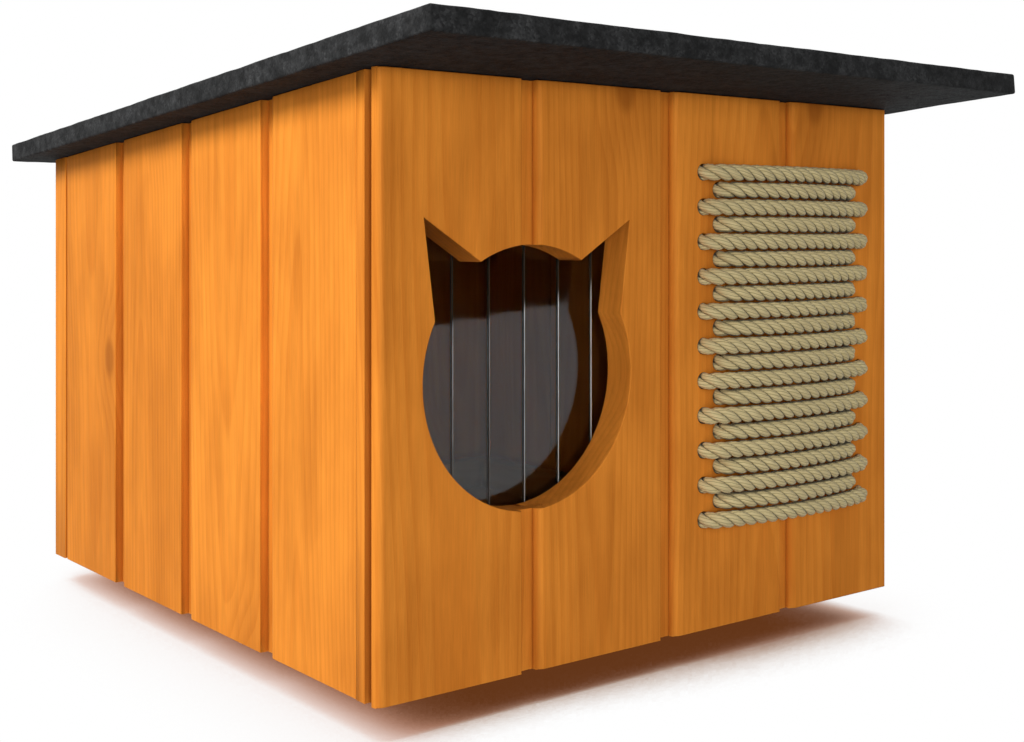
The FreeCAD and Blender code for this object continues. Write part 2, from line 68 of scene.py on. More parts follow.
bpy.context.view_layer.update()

# %% [markdown]
# ## The camera
# The photograph is taken from low down, at the height of the entrance, with the near corner of the house a
# little left of the middle. A level camera keeps the boards' edges upright, as in the photograph, and a
# vertical shift frames the house without tilting the camera. The place and the focal length were found by
# matching the corners of the walls and the roof.

# %% Set up the camera
def new_object(name, data):
    """A new object in the scene."""
    made = bpy.data.objects.new(name, data)
    scene.collection.objects.link(made)
    return made


lens = bpy.data.cameras.new("photo_camera")
lens.sensor_width = 36.0
lens.lens = 49.915
lens.shift_y = -0.1323
camera = new_object("photo_camera", lens)
camera.location = (-0.7236, -0.9770, 0.3146)
camera.rotation_euler = (math.radians(90), 0, math.radians(-38.022))
scene.camera = camera
print("camera height", round(camera.location.z, 3), "m, lens", lens.lens, "mm")

# %% [markdown]
# ## Helpers for node trees
# Materials and Geometry Nodes are both graphs: boxes joined by wires. Building a graph by hand in a script
# is wordy, so one small helper adds a node, sets its options, and fills each input with either a plain
# value or a wire from another node. Others do sums, because most patterns are sums of simpler ones. A
# wire's end, a socket, knows the tree that it belongs to, so the sums find their tree by themselves.

# %% Nodes and sums
def fill(made, inputs):
    """Fills a node's inputs with values or with other nodes' sockets."""
    for name, value in inputs.items():
        if isinstance(value, bpy.types.NodeSocket):
            made.id_data.links.new(value, made.inputs[name])
        else:
            made.inputs[name].default_value = value


def add_node(tree, kind, inputs=None, **settings):
    """Adds a node, sets its settings and fills its inputs."""
    made = tree.nodes.new(kind)
    for name, value in settings.items():
        setattr(made, name, value)
    fill(made, inputs or {})
    return made


def node(tree, kind, inputs=None, output=0, **settings):
    """Adds a node and gives one of its outputs."""
    return add_node(tree, kind, inputs, **settings).outputs[output]


def tree_of(values):
    """The tree of the first socket among some values."""
    return next(value.id_data for value in values if isinstance(value, bpy.types.NodeSocket))


def maths(operation, *values):
    """The result of one sum on numbers or sockets."""
    return node(tree_of(values), "ShaderNodeMath", dict(enumerate(values)), operation=operation)


def vector_sum(operation, *values):
    """The result of one sum on vectors."""
    return node(tree_of(values), "ShaderNodeVectorMath", dict(enumerate(values)), operation=operation)


def scaled(vector, factor):
    """A vector made longer or shorter."""
    return node(vector.id_data, "ShaderNodeVectorMath", {0: vector, "Scale": factor}, operation="SCALE")


def vector_of(*values):
    """A vector put together from numbers and sockets."""
    return node(tree_of(values), "ShaderNodeCombineXYZ", dict(enumerate(values)))


def ramp(value, low, high, start=0.0, end=1.0):
    """A smooth step: start below low, end above high."""
    inputs = {"Value": value, "From Min": low, "From Max": high, "To Min": start, "To Max": end}
    return node(value.id_data, "ShaderNodeMapRange", inputs, interpolation_type="SMOOTHSTEP")


print("nodes and sums are ready")

# %% Colours, patterns and surfaces
def mix_colour(share, first, second, mode="MIX"):
    """Two colours mixed by a share from 0 to 1."""
    return node(tree_of((share, first, second)), "ShaderNodeMix", {0: share, 6: first, 7: second}, 2,
                data_type="RGBA", blend_type=mode)


def tinted(colour, mask, share, tint):
    """A colour with a share of a tint where a mask is 1."""
    return mix_colour(maths("MULTIPLY", mask, share), colour, tint)


def stretched_noise(vector, stretch, detail=2.0, output="Fac"):
    """Noise whose specks are 1 / stretch long along each axis."""
    place = vector_sum("MULTIPLY", vector, stretch)
    inputs = {"Vector": place, "Scale": 1.0, "Detail": detail}
    return node(vector.id_data, "ShaderNodeTexNoise", inputs, output)


def place_of(tree):
    """Where a point is on its piece, in metres."""
    return node(tree, "ShaderNodeTexCoord", output="Object")


def kept(tree, name, output="Fac"):
    """What a mesh keeps for each of its points under a name."""
    return node(tree, "ShaderNodeAttribute", output=output, attribute_name=name)


def painted_crevice_shade(tree, reach, shallow, deep):
    """The share of painted shade: 0 on open surfaces and 1 deep in a crevice, judged by what lies within
    reach.
    """
    open_share = node(tree, "ShaderNodeAmbientOcclusion", {"Distance": reach}, "AO", samples=8)
    return ramp(open_share, deep, shallow, 1.0, 0.0)


def bumped(height, strength, depth):
    """The way a surface faces, disturbed by a fine relief."""
    inputs = {"Height": height, "Strength": strength, "Distance": depth}
    return node(height.id_data, "ShaderNodeBump", inputs)


def new_finish(name):
    """A material with its tree and its surface shader."""
    finish = bpy.data.materials.new(name)
    finish.use_nodes = True
    return finish, finish.node_tree, finish.node_tree.nodes["Principled BSDF"]


print("patterns and surfaces are ready")

# %% [markdown]
# ## The studio
# The photograph has a white ground with a dark, narrow shadow where the house stands clear of it. A white
# sweep photographs as pure white wherever it sees the room, so for the camera the floor's brightness
# follows how much of the room each point sees, which the Ambient Occlusion node measures. It looks three
# ways, and the brightest result counts. Towards the front, light gets only a little way under the house, so
# the shade there is dark and has a clear edge. Towards the left and towards the right it creeps in further,
# so there the shade is pale. What light is left under the house has bounced off stained boards, so the
# deepest shade is brown. For the light that reaches the house, the sweep is an ordinary pale floor.

# %% The floor's shade
SHADOW_REACH = 0.20
DEEP_SHADE = (0.125, 0.037, 0.010)
WHITE = (1.0, 1.0, 1.0)
PALE_FLOOR = (0.32, 0.32, 0.32, 1)
to_front = [(0.87, DEEP_SHADE), (0.945, (0.17, 0.085, 0.045)), (0.984, (0.55, 0.42, 0.34)), (1.0, WHITE)]
to_left = [(0.52, DEEP_SHADE), (0.65, (0.45, 0.22, 0.14)), (0.75, (0.62, 0.42, 0.35)),
           (0.90, (0.83, 0.66, 0.60)), (0.95, WHITE)]
to_right = [(0.54, DEEP_SHADE), (0.72, (0.50, 0.33, 0.26)), (0.95, WHITE)]

# Each look has its way, its colours by the share of the room that is seen, and its number of samples.
looks = [((0.0, -0.96, 0.28), to_front, 56),
         ((-0.82, 0.50, 0.28), to_left, 16),
         ((0.80, 0.53, 0.28), to_right, 16)]


def seen_directly(tree):
    """1 for what the camera sees, also in glass and gloss, and 0 for what only lights the house."""
    path = add_node(tree, "ShaderNodeLightPath").outputs
    seen = maths("MAXIMUM", path["Is Camera Ray"], path["Is Glossy Ray"])
    return maths("MAXIMUM", seen, path["Is Transmission Ray"])


def shade_towards(tree, way, colours, samples):
    """The floor's colour by how much of the room a point sees when it looks one way."""
    inputs = {"Distance": SHADOW_REACH, "Normal": node(tree, "ShaderNodeCombineXYZ", dict(enumerate(way)))}
    open_share = node(tree, "ShaderNodeAmbientOcclusion", inputs, "AO", samples=samples)
    shade = add_node(tree, "ShaderNodeValToRGB", {"Fac": open_share})
    stops = shade.color_ramp.elements
    while len(stops) < len(colours):
        stops.new(1.0)
    for stop, (place, colour) in zip(stops, colours):
        stop.position = place
        stop.color = (*colour, 1)
    return shade.outputs["Color"]


# The camera sees the shade; the house gets its light from an even, pale floor.
sweep = bpy.data.materials.new("white_sweep")
sweep.use_nodes = True
tree = sweep.node_tree
tree.nodes.clear()
front, left, right = [shade_towards(tree, *look) for look in looks]
colour = mix_colour(1.0, mix_colour(1.0, front, left, "LIGHTEN"), right, "LIGHTEN")
shown = node(tree, "ShaderNodeEmission", {"Color": colour, "Strength": 1.0})
plain = node(tree, "ShaderNodeBsdfDiffuse", {"Color": PALE_FLOOR})
both = node(tree, "ShaderNodeMixShader", {0: seen_directly(tree), 1: plain, 2: shown})
add_node(tree, "ShaderNodeOutputMaterial", {"Surface": both})
print("the floor looks", len(looks), "ways")

# %% The floor
HALF_FLOOR = 8.0


def flat_sheet(name, corners, finish):
    """One flat four-sided sheet for the studio."""
    mesh = bpy.data.meshes.new(name)
    mesh.from_pydata(corners, [], [(0, 1, 2, 3)])
    mesh.materials.append(finish)
    sheet = new_object(name, mesh)
    return sheet


floor_corners = [(HALF_FLOOR * x, HALF_FLOOR * y, 0) for x, y in ((-1, -1), (1, -1), (1, 1), (-1, 1))]
flat_sheet("studio_floor", floor_corners, sweep)
print("floor", 2 * HALF_FLOOR, "m across")

# %% [markdown]
# ## The lights
# The left wall is almost twice as bright as the front, and the cut rim of the entrance that faces left is
# dimmer than the front. So the strong lamp stands high on the left, almost in the plane of the front, where
# it reaches the left wall and the ends of the rope but hardly the front. A weaker one lights the front from
# beside the camera, a third one lights the sides that the photograph doesn't show, and an even white room
# does the rest.

# %% Lamps and room
LAMP_TINT = (1.0, 0.98, 0.95)
ROOM_LIGHT = 0.24


def soft_lamp(name, place, target, size, power):
    """A round soft box that points at a target."""
    light = bpy.data.lights.new(name, "AREA")
    light.shape = "DISK"
    light.size = size
    light.energy = power
    light.color = LAMP_TINT
    lamp = new_object(name, light)
    lamp.location = place
    lamp.rotation_euler = (Vector(target) - Vector(place)).to_track_quat("-Z", "Y").to_euler()
    return lamp


lamps = [soft_lamp("side_lamp", (-1.95, 0.05, 1.40), (-0.25, 0.05, 0.24), size=0.9, power=36.5),
         soft_lamp("front_lamp", (-1.30, -2.25, 0.45), (-0.1, -0.24, 0.24), size=1.0, power=28.4),
         soft_lamp("back_lamp", (2.3, 2.1, 1.0), (0.1, 0.2, 0.24), size=1.2, power=45.0)]
room = bpy.data.worlds.new("white_room")
room.use_nodes = True
scene.world = room
room_tree = room.node_tree
strength = node(room_tree, "ShaderNodeMapRange",
                {"Value": seen_directly(room_tree), "To Min": ROOM_LIGHT, "To Max": 1.0})
fill(room_tree.nodes["Background"], {"Color": (1, 1, 1, 1), "Strength": strength})
scene.view_settings.view_transform = "Standard"
print("lamps in W:", [round(lamp.data.energy, 1) for lamp in lamps], "room light", ROOM_LIGHT)

# %% [markdown]
# ## A dark card
# The strips in the entrance mirror the room: white floor below a slanting line and darkness above it. For
# that a dark card stands in front of the house on the right, where only mirrors see it. Its foot lies on
# the line whose mirror image is the slanting one.

# %% The card
CARD_SPARE = 3.0
CARD_HEIGHT = 2.6
card_near = Vector((2.145, -3.535, 0.0))
card_far = Vector((3.806, -4.693, 0.0))
card_finish, _, card_surface = new_finish("dark_card")
fill(card_surface, {"Base Color": (0.004, 0.004, 0.004, 1), "Roughness": 1.0, "Specular IOR Level": 0.0})
spare = (card_far - card_near).normalized() * CARD_SPARE
up = Vector((0, 0, CARD_HEIGHT))
foot = [card_near - spare, card_far + spare]
card = flat_sheet("dark_card", [foot[0], foot[1], foot[1] + up, foot[0] + up], card_finish)
card.visible_camera = False
card.visible_diffuse = False
card.visible_shadow = False
print("dark card", round((foot[1] - foot[0]).length, 2), "m wide and", CARD_HEIGHT, "m high")

# %% [markdown]
# ## Stained pine
# A board is a slice of a log, so its figure is the log's growth rings cut open: nearly straight lines where
# the cut runs along the rings, arches where it grazes them, and swirls round a knot. One could paint such
# lines on each face, but then they would not meet at the edges. Here every board keeps, as an attribute,
# where in its log each point lay. The finish draws rings round the heart of that log, so the faces, the
# edges and the cut rim of the entrance all show the same piece of wood.

# %% The wood finish
# The ring pattern runs through 20 radians in a unit of length, and a growth ring is one full turn of it.
RING_WIDTH = 4.8 * MM
RING_SCALE = math.tau / (20 * RING_WIDTH)
RING_WANDER = (16 * MM, 16 * MM, 0.0)
KNOT_BEND = 11 * MM
PATCH_WIDTH, PATCH_LENGTH = 0.15, 0.26
CREVICE_REACH = 13 * MM
GRAIN_DEPTH = 0.3 * MM


def wood_finish(name, early, late, knot_colour, crevice_shade_colour, roughness, contrast, shine):
    """Growth rings, knots, fibres and blotches in a log's own places, with painted shade in its crevices.
    """
    finish, tree, surface = new_finish(name)
    grain = kept(tree, "grain", "Vector")
    tone = kept(tree, "tone")

    # Knots lie in the face of the board, one to a patch, and only some patches have one.
    parts = add_node(tree, "ShaderNodeSeparateXYZ", {0: grain}).outputs
    patch = vector_of(maths("DIVIDE", parts[X], PATCH_WIDTH), maths("DIVIDE", parts[Z], PATCH_LENGTH))
    cells = add_node(tree, "ShaderNodeTexVoronoi", {"Vector": patch, "Scale": 1.0, "Randomness": 0.9},
                     voronoi_dimensions="2D").outputs
    lucky = ramp(node(tree, "ShaderNodeSeparateColor", {0: cells["Color"]}), 0.52, 0.56)
    knot = maths("MULTIPLY", lucky, ramp(cells["Distance"], 0.035, 0.085, 1.0, 0.0))
    swirl = maths("MULTIPLY", lucky, ramp(cells["Distance"], 0.02, 0.30, 1.0, 0.0))

    # The rings wander a little, and bend round the knots.
    wander = stretched_noise(grain, (16, 16, 3.0), 1.0, "Color")
    wander = vector_sum("SUBTRACT", wander, (0.5, 0.5, 0.5))
    wander = vector_sum("MULTIPLY", wander, RING_WANDER)
    push = vector_of(0.0, maths("MULTIPLY", swirl, KNOT_BEND))
    bent = vector_sum("ADD", vector_sum("ADD", grain, wander), push)
    rings = node(tree, "ShaderNodeTexWave", {"Vector": bent, "Scale": RING_SCALE, "Distortion": 0.0}, "Fac",
                 wave_type="RINGS", rings_direction="Z", wave_profile="SAW")
    late_wood = maths("MULTIPLY", ramp(rings, 0.25, 0.9), ramp(rings, 0.9, 1.0, 1.0, 0.0))

    # Fibres, streaks and blotches shade the wood; where it is darker it is also redder.
    fibre = stretched_noise(grain, (1100, 1100, 30), 3.0)
    streak = stretched_noise(grain, (150, 150, 5), 3.0)
    blotch = stretched_noise(grain, (22, 22, 9), 3.0)
    shade = maths("ADD", ramp(blotch, 0.25, 0.75, -0.15, 0.07), ramp(streak, 0.2, 0.8, -0.07, 0.05))
    shade = maths("ADD", shade, ramp(fibre, 0.2, 0.8, -0.05, 0.05))
    shade = maths("MULTIPLY", maths("ADD", shade, 1.0), tone)
    shade = vector_of(shade, maths("POWER", shade, 1.25), maths("POWER", shade, 1.5))

    colour = tinted(early, late_wood, contrast, late)
    colour = mix_colour(1.0, colour, shade, "MULTIPLY")
    colour = tinted(colour, swirl, 0.20, knot_colour)
    colour = tinted(colour, knot, 0.50, knot_colour)
    # Painted shade: darker and redder in joints, corners and other crevices.
    colour = tinted(colour, painted_crevice_shade(tree, CREVICE_REACH, 0.88, 0.45), 0.45, crevice_shade_colour)
    relief = maths("ADD", maths("MULTIPLY", late_wood, 0.6), maths("MULTIPLY", fibre, 0.7))
    fill(surface, {"Base Color": colour, "Specular IOR Level": shine,
                   "Roughness": ramp(fibre, 0.1, 0.9, roughness - 0.06, roughness + 0.09),
                   "Normal": bumped(relief, 0.22, GRAIN_DEPTH)})
    return finish


# Each finish's fourth colour is its painted shade in crevices.
stained_pine = wood_finish("stained_pine", (0.86, 0.296, 0.038, 1), (0.68, 0.195, 0.020, 1),
                           (0.30, 0.075, 0.008, 1), (0.22, 0.060, 0.007, 1),
                           roughness=0.50, contrast=0.34, shine=0.03)
plain_pine = wood_finish("plain_pine", (0.66, 0.46, 0.25, 1), (0.50, 0.30, 0.13, 1),
                         (0.22, 0.11, 0.045, 1), (0.10, 0.055, 0.025, 1),
                         roughness=0.62, contrast=0.7, shine=0.3)
print("growth rings", round(RING_WIDTH / MM, 1), "mm apart")

# %% [markdown]
# ## Boards with eased edges
# Planed boards never have knife edges: a few strokes of sandpaper take them off, and that thin rounded line
# catches the light along every board and round the entrance. Each wooden part of the frame is copied, its
# loose triangles are merged back into whole faces, and a bevel rounds the sharp edges that are left, apart
# from those that no sandpaper reaches: inside the joints and at the holes for the rope. The weighted
# normals keep the large faces flat beside their rounded edges.

# %% Copies of frame parts
MERGE_DISTANCE = 2e-6
FLAT_ANGLE = math.radians(0.6)
slot_of = {part["node"]: part["material_slot"] for part in frame["record"]["subparts"]}
body_of = {}
for body, names in frame["record"]["behaviour"]["bodies"].items():
    body_of.update(dict.fromkeys(names, body))


def merged_copy(name):
    """A frame part as one closed mesh with whole faces."""
    shape = bmesh.new()
    shape.from_mesh(frame["nodes"][name].data)
    bmesh.ops.remove_doubles(shape, verts=shape.verts, dist=MERGE_DISTANCE)
    bmesh.ops.dissolve_limit(shape, angle_limit=FLAT_ANGLE, use_dissolve_boundaries=False,
                             verts=shape.verts, edges=shape.edges)
    shape.verts.index_update()
    points = [vertex.co.copy() for vertex in shape.verts]
    faces = [[vertex.index for vertex in face.verts] for face in shape.faces]
    shape.free()
    whole = bpy.data.meshes.new(name + "_eased")
    whole.from_pydata(points, [], faces)
    return whole


def as_plain_mesh(piece):
    """Turns a piece and its modifiers into one plain mesh."""
    graph = bpy.context.evaluated_depsgraph_get()
    made = bpy.data.meshes.new_from_object(piece.evaluated_get(graph), preserve_all_data_layers=True,
                                           depsgraph=graph)
    piece.modifiers.clear()
    piece.data = made
    return piece


def settle(piece, name):
    """The piece takes a frame part's place: the part is hidden and the piece goes on the part's body."""
    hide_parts(name)
    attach(piece, body_of[name])
    return piece


def points_of(mesh):
    """A mesh's points as rows of x, y, z."""
    places = np.empty(len(mesh.vertices) * 3, np.float32)
    mesh.vertices.foreach_get("co", places)
    return places.reshape(-1, 3)


def keep(mesh, name, values):
    """Keeps a number or a vector for each point of a mesh, for finishes and recipes to read."""
    values = np.asarray(values, np.float32)
    kind, field = ("FLOAT", "value") if values.ndim == 1 else ("FLOAT_VECTOR", "vector")
    mesh.attributes.new(name, kind, "POINT").data.foreach_set(field, values.ravel())


print("slots:", sorted(set(slot_of.values())))

# %% Edges that sandpaper reaches
SHARP = math.radians(38)


def mark_edges(mesh, is_hidden):
    """Marks the edges that sandpaper rounds, and those that stay sharp."""
    shape = bmesh.new()
    shape.from_mesh(mesh)
    weight = shape.edges.layers.float.new("bevel_weight_edge")
    for edge in shape.edges:
        sharp = edge.is_manifold and edge.calc_face_angle() > SHARP
        hidden = is_hidden((edge.verts[0].co + edge.verts[1].co) / 2)
        edge[weight] = 1.0 if sharp and not hidden else 0.0
        edge.smooth = not (sharp and hidden)
    shape.to_mesh(mesh)
    shape.free()


def eased(name, width, finish, is_hidden=lambda place: False):
    """A copy of a frame part with rounded edges, in the part's place and on its body."""
    mesh = merged_copy(name)
    mesh.shade_smooth()
    mark_edges(mesh, is_hidden)
    mesh.materials.append(finish)
    piece = new_object(name + "_eased", mesh)
    bevel = piece.modifiers.new("eased_edges", "BEVEL")
    bevel.width = width
    bevel.segments = 2
    bevel.limit_method = "WEIGHT"
    bevel.use_clamp_overlap = False
    flat = piece.modifiers.new("flat_faces", "WEIGHTED_NORMAL")
    flat.weight = 100
    flat.keep_sharp = True
    as_plain_mesh(piece)
    return settle(piece, name)


print("edges over", round(math.degrees(SHARP)), "degrees are eased")

# %% [markdown]
# ## A slice of a log
# Each board gets a log of its own. Chance, with a fixed seed, says how far from the heart the saw went, how
# much the log leaned, where along it the board lay and how bright its wood is.

# %% Grain
HEART_ASIDE = 35 * MM
HEART_NEAR, HEART_FAR = 30 * MM, 85 * MM
LOG_LEAN = 0.05
LOG_LENGTH = 6


def own_places(mesh, along):
    """Where each point is across, through and along its piece; the widest face tells which is which."""
    places = points_of(mesh)
    through = np.array(max(mesh.polygons, key=lambda face: face.area).normal)
    way = np.eye(3)[along]
    way = way - through * (way @ through)
    way = way / np.linalg.norm(way)
    middle = (places.min(0) + places.max(0)) / 2
    return (places - middle) @ np.stack([np.cross(way, through), through, way], axis=1)


def keep_grain(piece, grain, tone):
    """Keeps where in its log or sheet each point lay, and how bright the wood is."""
    keep(piece.data, "grain", grain)
    keep(piece.data, "tone", np.full(len(grain), tone))


def cut_from_log(piece, along, seed):
    """Gives a piece the grain of a slice beside the heart of its own log."""
    chance = random.Random(seed)
    grain = own_places(piece.data, along)
    run = grain[:, Z].copy()
    grain[:, X] += chance.uniform(-HEART_ASIDE, HEART_ASIDE) + run * chance.uniform(-LOG_LEAN, LOG_LEAN)
    grain[:, Y] += chance.uniform(HEART_NEAR, HEART_FAR) + run * chance.uniform(-LOG_LEAN, LOG_LEAN)
    grain[:, Z] += chance.uniform(0, LOG_LENGTH)
    keep_grain(piece, grain, chance.uniform(0.95, 1.05))


print("slices lie up to", round(HEART_FAR / MM), "mm from the heart")

# %% The boards
EASE = 0.9 * MM
BOARD_SEED = 40
ROPE_X, ROPE_Z = 125.0 * MM, 232.8 * MM
LONG_HALF, ROW_STEP = 89.5 * MM, 16.0 * MM
ROWS, ROW_PITCH = 21, 12.87 * MM
HOLE_REACH = 7 * MM
FACE_DEPTH = 2 * MM


def row_places(row):
    """Where a row of rope starts and ends across the front, and its height."""
    way = -1 if row % 2 else 1
    reach = LONG_HALF - ROW_STEP if row % 2 else LONG_HALF
    return ROPE_X - way * reach, ROPE_X + way * reach, ROPE_Z + ((ROWS - 1) / 2 - row) * ROW_PITCH


rope_holes = [(place, row_places(row)[2]) for row in range(ROWS) for place in row_places(row)[:2]]


def out_of_reach(name):
    """Makes the test for one board: does a place lie inside a joint or at a hole for the rope?"""
    low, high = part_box(name)
    thin = min((X, Y, Z), key=lambda axis: high[axis] - low[axis])
    holes = rope_holes if name.startswith("front") else []

    def is_hidden(place):
        at_hole = any(math.hypot(place.x - x, place.z - z) < HOLE_REACH for x, z in holes)
        return at_hole or low[thin] + FACE_DEPTH < place[thin] < high[thin] - FACE_DEPTH

    return is_hidden


boards = [name for name in sorted(frame["nodes"]) if "_board_" in name]
for index, name in enumerate(boards):
    cut_from_log(eased(name, EASE, stained_pine, out_of_reach(name)), Z, BOARD_SEED + index)
print("boards with eased edges:", len(boards), "holes for the rope:", len(rope_holes))

# %% [markdown]
# ## Rails, battens and bearers
# The frame inside the walls and the bearers under the floor are plain planed pine, left without stain. They
# are cut from the same kind of log, and their grain runs the long way of each piece.

# %% Plain pine parts
PLAIN_SEED = 90
plain_parts = [name for name in sorted(frame["nodes"]) if slot_of[name] == "plain_pine"]
for index, name in enumerate(plain_parts):
    low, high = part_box(name)
    longest = max((X, Y, Z), key=lambda axis: high[axis] - low[axis])
    cut_from_log(eased(name, EASE, plain_pine), longest, PLAIN_SEED + index)
print("plain pine parts:", len(plain_parts))

# %% [markdown]
# ## Plywood
# The floor and the roof deck are plywood: thin sheets of veneer glued crosswise. Its face shows one wide,
# quiet veneer, and its edge shows the plies as pale and dark stripes. The depth kept with the grain counts
# the plies from one face to the other, so faces and edges come from one rule.

# %% The plywood's finish
plywood, tree, surface = new_finish("plywood")
grain = kept(tree, "grain", "Vector")
depth = node(tree, "ShaderNodeSeparateXYZ", {0: grain}, Y)
crosswise = maths("MODULO", maths("FLOOR", depth), 2.0)
glue = ramp(maths("PINGPONG", depth, 0.5), 0.02, 0.07, 1.0, 0.0)
sheet = vector_sum("MULTIPLY", grain, (1.0, 0.0, 1.0))
wander = stretched_noise(sheet, (9, 9, 2.2), 3.0)
figure = ramp(maths("FRACT", maths("MULTIPLY", wander, 9.0)), 0.45, 1.0)
fibre = stretched_noise(sheet, (700, 700, 22), 2.0)
colour = tinted((0.60, 0.41, 0.22, 1), figure, 0.4, (0.46, 0.28, 0.13, 1))
colour = tinted(colour, crosswise, 0.45, (0.33, 0.19, 0.09, 1))
colour = tinted(colour, fibre, 0.22, (0.40, 0.25, 0.12, 1))
colour = tinted(colour, glue, 0.6, (0.10, 0.05, 0.025, 1))
fill(surface, {"Base Color": colour, "Roughness": ramp(fibre, 0.1, 0.9, 0.55, 0.72),
               "Normal": bumped(fibre, 0.2, GRAIN_DEPTH)})
print("finish of the sheets:", plywood.name)

# %% Plywood parts
SHEETS = {"floor_panel": 7, "roof_deck": 5}
SHEET_EASE = 0.5 * MM
SHEET_SEED = 140
PLY_MARGIN = 0.02


def cut_from_sheet(piece, along, plies, seed):
    """Gives a panel the grain of a plywood sheet; through the sheet its places count plies."""
    chance = random.Random(seed)
    grain = own_places(piece.data, along)
    through = grain[:, Y]
    share = (through - through.min()) / np.ptp(through)
    grain[:, Y] = plies * (PLY_MARGIN + (1 - 2 * PLY_MARGIN) * share)
    grain[:, X] += chance.uniform(0, LOG_LENGTH)
    keep_grain(piece, grain, 1.0)


for index, (name, plies) in enumerate(SHEETS.items()):
    cut_from_sheet(eased(name, SHEET_EASE, plywood), Y, plies, SHEET_SEED + index)
print("plies in each sheet:", SHEETS)

# %% [markdown]
# ## Roof felt
# The roof is wrapped in mineral felt: bitumen with crushed slate pressed into it. From a step away it is a
# charcoal sheet with pale specks; close up it is rough and never quite flat. The frame's skin is cut into a
# fine grid and pushed in and out by a fraction of a millimetre, and the finish adds the grains. Underneath,
# on the faces that look down, the felt is painted darker and bluer: painted shade.

# %% The felt's finish
GRAINS, CHIPS = 620.0, 330.0
GRAIN_HEIGHT = 0.6 * MM
mineral_felt, tree, surface = new_finish("mineral_felt")
place = place_of(tree)
grains = add_node(tree, "ShaderNodeTexVoronoi", {"Vector": place, "Scale": GRAINS}).outputs
chips = add_node(tree, "ShaderNodeTexVoronoi", {"Vector": place, "Scale": CHIPS}).outputs
pick = add_node(tree, "ShaderNodeSeparateColor", {0: grains["Color"]}).outputs
chip = add_node(tree, "ShaderNodeSeparateColor", {0: chips["Color"]}).outputs
cloud = stretched_noise(place, (26, 26, 26), 3.0)
mottle = stretched_noise(place, (120, 120, 120), 3.0)
shade = maths("MULTIPLY", ramp(cloud, 0.25, 0.75, 0.78, 1.2), ramp(mottle, 0.3, 0.7, 0.55, 1.5))

# Two greys, a few pale grains and chips among them, and painted shade on the faces that look down.
colour = mix_colour(pick[0], (0.012, 0.0124, 0.013, 1), (0.032, 0.033, 0.0345, 1))
colour = mix_colour(ramp(pick[1], 0.86, 0.97, 0.0, 0.2), colour, (0.075, 0.075, 0.076, 1))
colour = mix_colour(ramp(chip[2], 0.93, 0.98, 0.0, 0.1), colour, (0.09, 0.091, 0.093, 1))
colour = mix_colour(1.0, colour, vector_of(shade, shade, shade), "MULTIPLY")
colour = mix_colour(kept(tree, "painted_underside_shade"), colour, (0.55, 0.64, 0.67, 1), "MULTIPLY")
relief = maths("SUBTRACT", pick[2], grains["Distance"])
fill(surface, {"Base Color": colour, "Roughness": ramp(pick[0], 0.0, 1.0, 0.72, 0.95),
               "Specular IOR Level": 0.1, "Normal": bumped(relief, 0.55, GRAIN_HEIGHT)})
print("slate grains about", round(1 / GRAINS / MM, 1), "mm, chips", round(1 / CHIPS / MM, 1), "mm")

# %% The felt's skin, cut fine and made slightly wavy
FELT_CELL = 7 * MM
FELT_WAVE = 0.35 * MM
LONG_WAVES, SHORT_WAVES, SHORT_SHARE = 42, 130, 0.6
FELT_SINK = 0.5
FACING_DOWN = -0.9
FELT_CREASE = 50


def shade_smooth(mesh, crease):
    """Smooth shading apart from edges that turn by more than a crease in degrees."""
    mesh.shade_smooth()
    mesh.set_sharp_from_angle(angle=math.radians(crease))


mesh = merged_copy("roof_felt")
shape = bmesh.new()
shape.from_mesh(mesh)
low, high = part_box("roof_felt")

# Cut the skin into small cells.
for axis in (X, Y):
    across = Vector((axis == X, axis == Y, 0))
    count = int((high[axis] - low[axis]) / FELT_CELL)
    for index in range(1, count):
        place = low + (high - low) * index / count
        everything = shape.verts[:] + shape.edges[:] + shape.faces[:]
        bmesh.ops.bisect_plane(shape, geom=everything, dist=1e-7, plane_co=place, plane_no=across)

# Wave it along its own outward ways, and sink it a little so that it stays inside the frame.
shape.normal_update()
moved = []
for vertex in shape.verts:
    wave = noise.noise(vertex.co * LONG_WAVES) + SHORT_SHARE * noise.noise(vertex.co * SHORT_WAVES)
    moved.append(vertex.co + vertex.normal * (wave - FELT_SINK) * FELT_WAVE)
for vertex, place in zip(shape.verts, moved):
    vertex.co = place
# Faces that look down are marked for painted shade.
underside_shade = [float(vertex.normal.z < FACING_DOWN) for vertex in shape.verts]
shape.to_mesh(mesh)
shape.free()
keep(mesh, "painted_underside_shade", underside_shade)
mesh.materials.append(mineral_felt)
shade_smooth(mesh, FELT_CREASE)
felt = settle(new_object("roof_felt_wavy", mesh), "roof_felt")
print("felt faces:", len(felt.data.polygons))

# %% [markdown]
# ## Scratching rope
# One length of three-strand sisal goes back and forth: out through the wall, across the face in a shallow
# bow, back in, and round to the next hole, in long and short rows by turns. Its line is a smooth spline
# with the route's corners as control points. A Geometry Nodes recipe then winds three strands round that
# line, right-handed, as such rope is laid, and keeps for every point how far along and how far round its
# strand it is, so that the finish can draw the yarns.

# %% The rope's route
ROPE_DIAMETER = 12.0 * MM
BOW_OUT = 1.16 * 8.5 * MM
CORNER_OUT = 0.82 * 8.0 * MM
CORNER_IN = 1.2 * 8.0 * MM
ROW_CORNERS = 6
LOOP = 10.3 * MM
TAIL_BEND = 12.0 * MM
TAIL = 18.0 * MM
front_y, back_y = [corner.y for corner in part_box("front_board_1")]
loop_y = back_y + LOOP
tail_y = back_y + TAIL_BEND
tails = (TAIL_BEND + TAIL, TAIL_BEND, 0)


